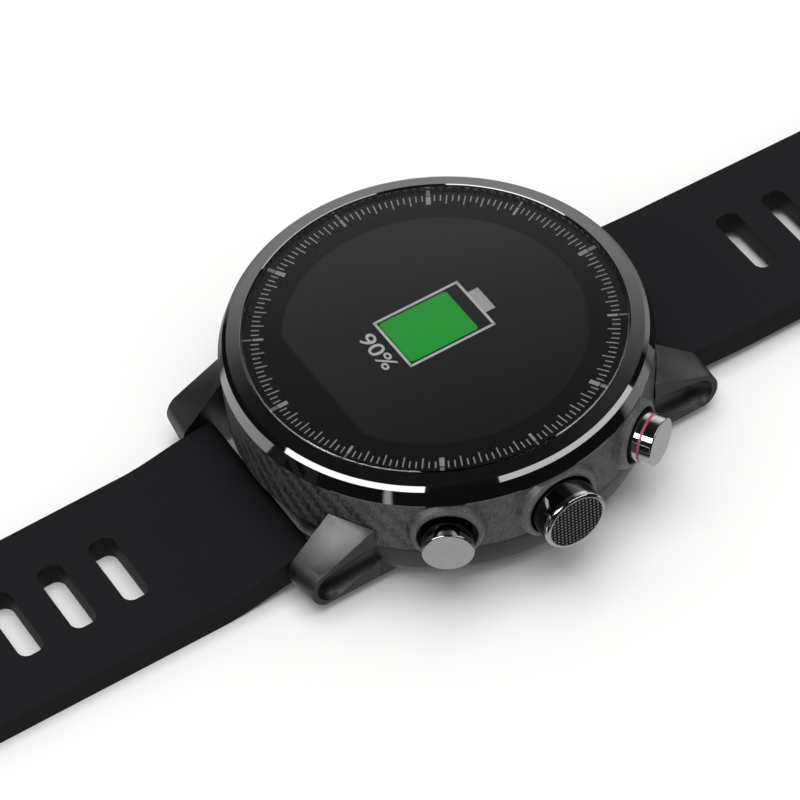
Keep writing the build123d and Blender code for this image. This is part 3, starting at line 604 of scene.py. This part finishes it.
def fit(piece, x0, x1, y0, y1):
    """Stretches a flat piece to fill those limits in millimetres."""
    xs, ys = ([v.co[a] for v in piece.data.vertices] for a in (0, 1))
    sx = (x1 - x0) * MM / (max(xs) - min(xs))
    sy = (y1 - y0) * MM / (max(ys) - min(ys))
    piece.data.transform(Matrix.Translation((x0 * MM - min(xs) * sx, y0 * MM - min(ys) * sy, 0))
                         @ Matrix.Diagonal((sx, sy, 1, 1)))


def charging_picture():
    """The outline, its cap, the green charge in it, and the figure under it, each given by its
    limits along X and Y."""
    hand_over(battery_outline(), ICON_INK, "case")
    cap = plate("battery_cap", -2.29, 1.22, 5.51, 6.76, Z_PICTURE, 0.05)
    hand_over(cap, CAP_INK, "case")
    fill = plate("battery_charge", -3.83, 2.74, -4.63, 3.72, Z_PICTURE, 0.35)
    hand_over(fill, CHARGE_INK, "case")
    clear_hand()
    bpy.ops.object.text_add(location=(-1.2 * MM, -6.85 * MM, Z_PICTURE * MM))
    figure = bpy.context.object
    figure.name = "charge_figure"
    figure.data.body = "90%"
    figure.data.size = 2.6 * MM
    figure.data.resolution_u = 4
    figure.data.extrude = INK / 2 * MM
    figure.data.offset = 0.02 * MM
    bpy.ops.object.convert(target="MESH")
    settle(figure)
    fit(figure, -3.35, 2.16, -7.55, -5.77)
    hand_over(figure, ICON_INK, "case")


charging_picture()


# ------------------------------------------------------------------ knurled face
def knurled_face():
    """Diamond knurling on the middle pusher: rows of four-sided points cut out as a disc that
    fills the recess in the cap's face."""
    clear_hand()
    bpy.ops.mesh.primitive_grid_add(x_subdivisions=KNURL_ROWS, y_subdivisions=KNURL_ROWS,
                                    size=KNURL_ROWS * KNURL_PITCH * MM)
    piece = bpy.context.object
    piece.name = piece.data.name = "middle_pusher_knurl"
    bpy.ops.object.mode_set(mode="EDIT")
    bpy.ops.mesh.select_all(action="SELECT")
    bpy.ops.mesh.inset(use_individual=True, thickness=KNURL_LAND * MM)
    bpy.ops.mesh.inset(use_individual=True, thickness=KNURL_SLOPE * MM, depth=KNURL_POINT * MM)
    choose(piece, "EDGE", lambda e: e.is_boundary)
    bpy.ops.mesh.extrude_region_move(TRANSFORM_OT_translate={"value": (0, 0, -KNURL_SHEET * MM)})
    bpy.ops.mesh.edge_face_add()
    bpy.ops.mesh.select_all(action="SELECT")
    bpy.ops.mesh.normals_make_consistent(inside=False)
    bpy.ops.object.mode_set(mode="OBJECT")
    clear_hand()
    bpy.ops.mesh.primitive_cylinder_add(vertices=72, radius=R_KNURL * MM, depth=2 * MM)
    cutter = bpy.context.object
    finish_with(piece, "BOOLEAN", operation="INTERSECT", object=cutter, solver="EXACT")
    bpy.data.objects.remove(cutter)
    base = X_MIDDLE_FACE - KNURL_RECESS + KNURL_SHEET + KNURL_LIFT
    piece.matrix_world = (Matrix.Translation((base * MM, 0, Z_PUSHER * MM))
                          @ Matrix.Rotation(math.radians(90), 4, "Y"))
    settle(piece)
    return hand_over(piece, KNURL_STEEL, "pusher_middle")


knurled_face()


# ------------------------------------------------------------------ softened pieces
def soften(node, name, edge_mm, material, body, segments=3):
    """Stands for a CAD solid: the same shape with its faces made whole and every sharp edge
    rounded, as a moulding or a tumbled casting has them."""
    source = frame["nodes"][node]
    sharp = math.radians(35)
    piece = source.copy()
    piece.data = source.data.copy()
    piece.name = piece.data.name = name
    for key in list(piece.keys()):
        del piece[key]
    piece.parent = None
    piece.matrix_world = Matrix.Identity(4)
    bpy.context.collection.objects.link(piece)
    take(piece)
    bpy.ops.object.mode_set(mode="EDIT")
    bpy.ops.mesh.select_all(action="SELECT")
    bpy.ops.mesh.customdata_custom_splitnormals_clear()
    bpy.ops.mesh.remove_doubles(threshold=0.002 * MM)
    bpy.ops.mesh.dissolve_limited(angle_limit=math.radians(0.6))
    bpy.ops.object.mode_set(mode="OBJECT")
    finish_with(piece, "BEVEL", width=edge_mm * MM, segments=segments, limit_method="ANGLE",
                angle_limit=sharp, use_clamp_overlap=True,
                miter_outer="MITER_ARC")
    bpy.ops.object.shade_smooth_by_angle(angle=sharp)
    finish_with(piece, "WEIGHTED_NORMAL", keep_sharp=True)
    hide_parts(node)
    return hand_over(piece, material, body)


soften("strap_12", "strap_buckle_side", 0.45, SILICONE, "strap_buckle_half")
soften("strap_6", "strap_hole_side", 0.45, SILICONE, "strap_long_half")
soften("lug_chassis", "cast_lugs", 0.1, FINISH["lug_steel"], "case", 2)
soften("keeper_fixed", "sewn_keeper", 0.12, SILICONE, "strap_buckle_half")
soften("keeper_free", "sliding_keeper", 0.12, SILICONE, "keeper")


# ------------------------------------------------------------------ studio
def direction(azimuth, elevation):
    """A unit vector: azimuth in degrees from +X towards +Y, elevation above the floor."""
    a, e = math.radians(azimuth), math.radians(elevation)
    return Vector((math.cos(a) * math.cos(e), math.sin(a) * math.cos(e), math.sin(e)))


def soft_light(name, first, last, distance, height, radiance, glossy, diffuse):
    """A long soft light between two directions, each an azimuth and an elevation. It faces the
    watch, out of the camera's sight."""
    first, last = (direction(*end) * distance for end in (first, last))
    middle, along = (first + last) / 2, (last - first).normalized()
    towards = middle.normalized()
    data = bpy.data.lights.new(name, "AREA")
    data.shape = "RECTANGLE"
    data.size, data.size_y = (last - first).length, height
    data.energy = 4 * data.size * height * radiance
    lamp = bpy.data.objects.new(name, data)
    bpy.context.collection.objects.link(lamp)
    turn = Matrix((along, towards.cross(along), towards)).transposed().to_4x4()
    lamp.matrix_world = Matrix.Translation(middle) @ turn
    lamp.visible_camera = lamp.visible_transmission = False
    lamp.visible_glossy = glossy
    lamp.visible_diffuse = diffuse


def floor():
    """A plain, pale, matte sweep under the watch."""
    clear_hand()
    bpy.ops.mesh.primitive_plane_add(size=8)
    ground = bpy.context.object
    ground.name = "floor"
    material, tree, shader, place = start("pale_paper")
    fibre = noise(tree, place, 40.0, 2.0)
    dress(tree, shader, Base_Color=mixed(tree, fibre, "#f3f3f2", "#f6f6f5"), Roughness=1.0,
          Specular_IOR_Level=0.0)
    paint(ground, material)
    ground.visible_glossy = False


def patch(tree, azimuth, rise, middle, half, low, high, level, soft=6.0):
    """A soft-edged block of that brightness: degrees of azimuth each side of a middle, and
    between two heights, each the sine of an elevation."""
    turn = calc(tree, "SUBTRACT", azimuth, math.radians(middle))
    off = calc(tree, "ABSOLUTE", calc(tree, "WRAP", turn, math.pi, -math.pi))
    across = between(tree, off, math.radians(half + soft / 2), math.radians(half - soft / 2))
    above = between(tree, rise, low - 0.04, low + 0.04)
    below = between(tree, rise, high + 0.04, high - 0.04)
    return calc(tree, "MULTIPLY", calc(tree, "MULTIPLY", above, below),
                calc(tree, "MULTIPLY", across, level))


def wall_steps(tree, rise):
    """Brightness of the wall behind the watch, by height."""
    ramp = add(tree, "ShaderNodeValToRGB", {0: between(tree, rise, -1.0, 1.0)})
    steps = [(-0.60, 0.35), (-0.20, 0.45), (0.0, 0.65), (0.1, 1.0), (0.41, 1.05), (0.47, 0.9),
             (0.56, 0.62), (0.62, 0.55), (0.68, 0.40), (0.71, 0.28), (0.735, 0.11), (0.76, 0.055),
             (0.80, 0.03), (0.9, 0.01)]
    elements = ramp.color_ramp.elements
    while len(elements) < len(steps):
        elements.new(0.5)
    for element, (z, level) in zip(elements, steps):
        element.position = (z + 1) / 2
        element.color = (level, level, level, 1)
    return ramp.outputs["Color"]


def surroundings():
    """A dim studio with a pale wall behind the watch and pale things low at both sides, seen
    only in polished surfaces; the camera sees plain pale paper and matte surfaces an even
    light."""
    world = bpy.context.scene.world or bpy.data.worlds.new("studio")
    bpy.context.scene.world = world
    world.use_nodes = True
    world.cycles.sampling_method = "NONE"
    tree = world.node_tree
    tree.nodes.clear()
    way = add(tree, "ShaderNodeTexCoord").outputs["Generated"]
    axes = add(tree, "ShaderNodeSeparateXYZ", {0: way}).outputs
    rise = axes["Z"]
    azimuth = calc(tree, "ARCTAN2", axes["Y"], axes["X"])
    seen = calc(tree, "MULTIPLY", wall_steps(tree, rise),
                patch(tree, azimuth, rise, 140, 48, -0.9, 1.1, 1.0, 8.0))
    for block in (
        between(tree, rise, -0.50, -0.72, 0.0, 0.55),                # table top
        patch(tree, azimuth, rise, 115, 10, 0.68, 0.9, 0.2, 14.0),   # light over the wall
        patch(tree, azimuth, rise, -133, 31, -0.58, -0.25, 1.2),     # pale card, low on the left
        patch(tree, azimuth, rise, 77, 13, -0.5, -0.3, 0.75),        # pale card, low on the right
        patch(tree, azimuth, rise, -56, 1.7, -0.3, 0.05, 1.7, 1.5),  # lamp stand
    ):
        seen = calc(tree, "MAXIMUM", seen, block)
    glossy = calc(tree, "ADD", seen, 0.015)
    path = add(tree, "ShaderNodeLightPath").outputs
    level = either(tree, path["Is Glossy Ray"], 0.55, glossy)
    level = either(tree, path["Is Camera Ray"], level, 0.95)
    light = add(tree, "ShaderNodeBackground", {"Color": level})
    add(tree, "ShaderNodeOutputWorld", {"Surface": light.outputs[0]})


def camera():
    """Looks down on the watch from the side of 4 o'clock, slightly rolled."""
    azimuth, elevation, roll, distance = 62.48, 48.21, -5.81, 0.409
    a, e = math.radians(azimuth), math.radians(elevation)
    back = Vector((math.sin(a) * math.cos(e), -math.cos(a) * math.cos(e), math.sin(e)))
    aim = Vector((2.73, -6.40, 10.19)) * MM
    data = bpy.data.cameras.new("camera")
    data.lens, data.sensor_width = 175.7, 36
    data.clip_start, data.clip_end = 0.01, 20
    eye = bpy.data.objects.new("camera", data)
    bpy.context.collection.objects.link(eye)
    turn = (Matrix.Rotation(a, 4, "Z") @ Matrix.Rotation(math.pi / 2 - e, 4, "X")
            @ Matrix.Rotation(math.radians(roll), 4, "Z"))
    eye.matrix_world = Matrix.Translation(aim + back * distance) @ turn
    bpy.context.scene.camera = eye


soft_light("ceiling", (0, 65), (180, 65), distance=1.5, height=1.3, radiance=2.15,
           glossy=False, diffuse=True)
soft_light("left_softbox", (-109, 31), (-43, 45.5), distance=0.6, height=0.18, radiance=6.0,
           glossy=True, diffuse=False)
soft_light("right_softbox", (-1, 47), (71, 23.5), distance=0.6, height=0.095, radiance=2.6,
           glossy=True, diffuse=False)
floor()
surroundings()
camera()
bpy.context.scene.view_settings.view_transform = "Standard"
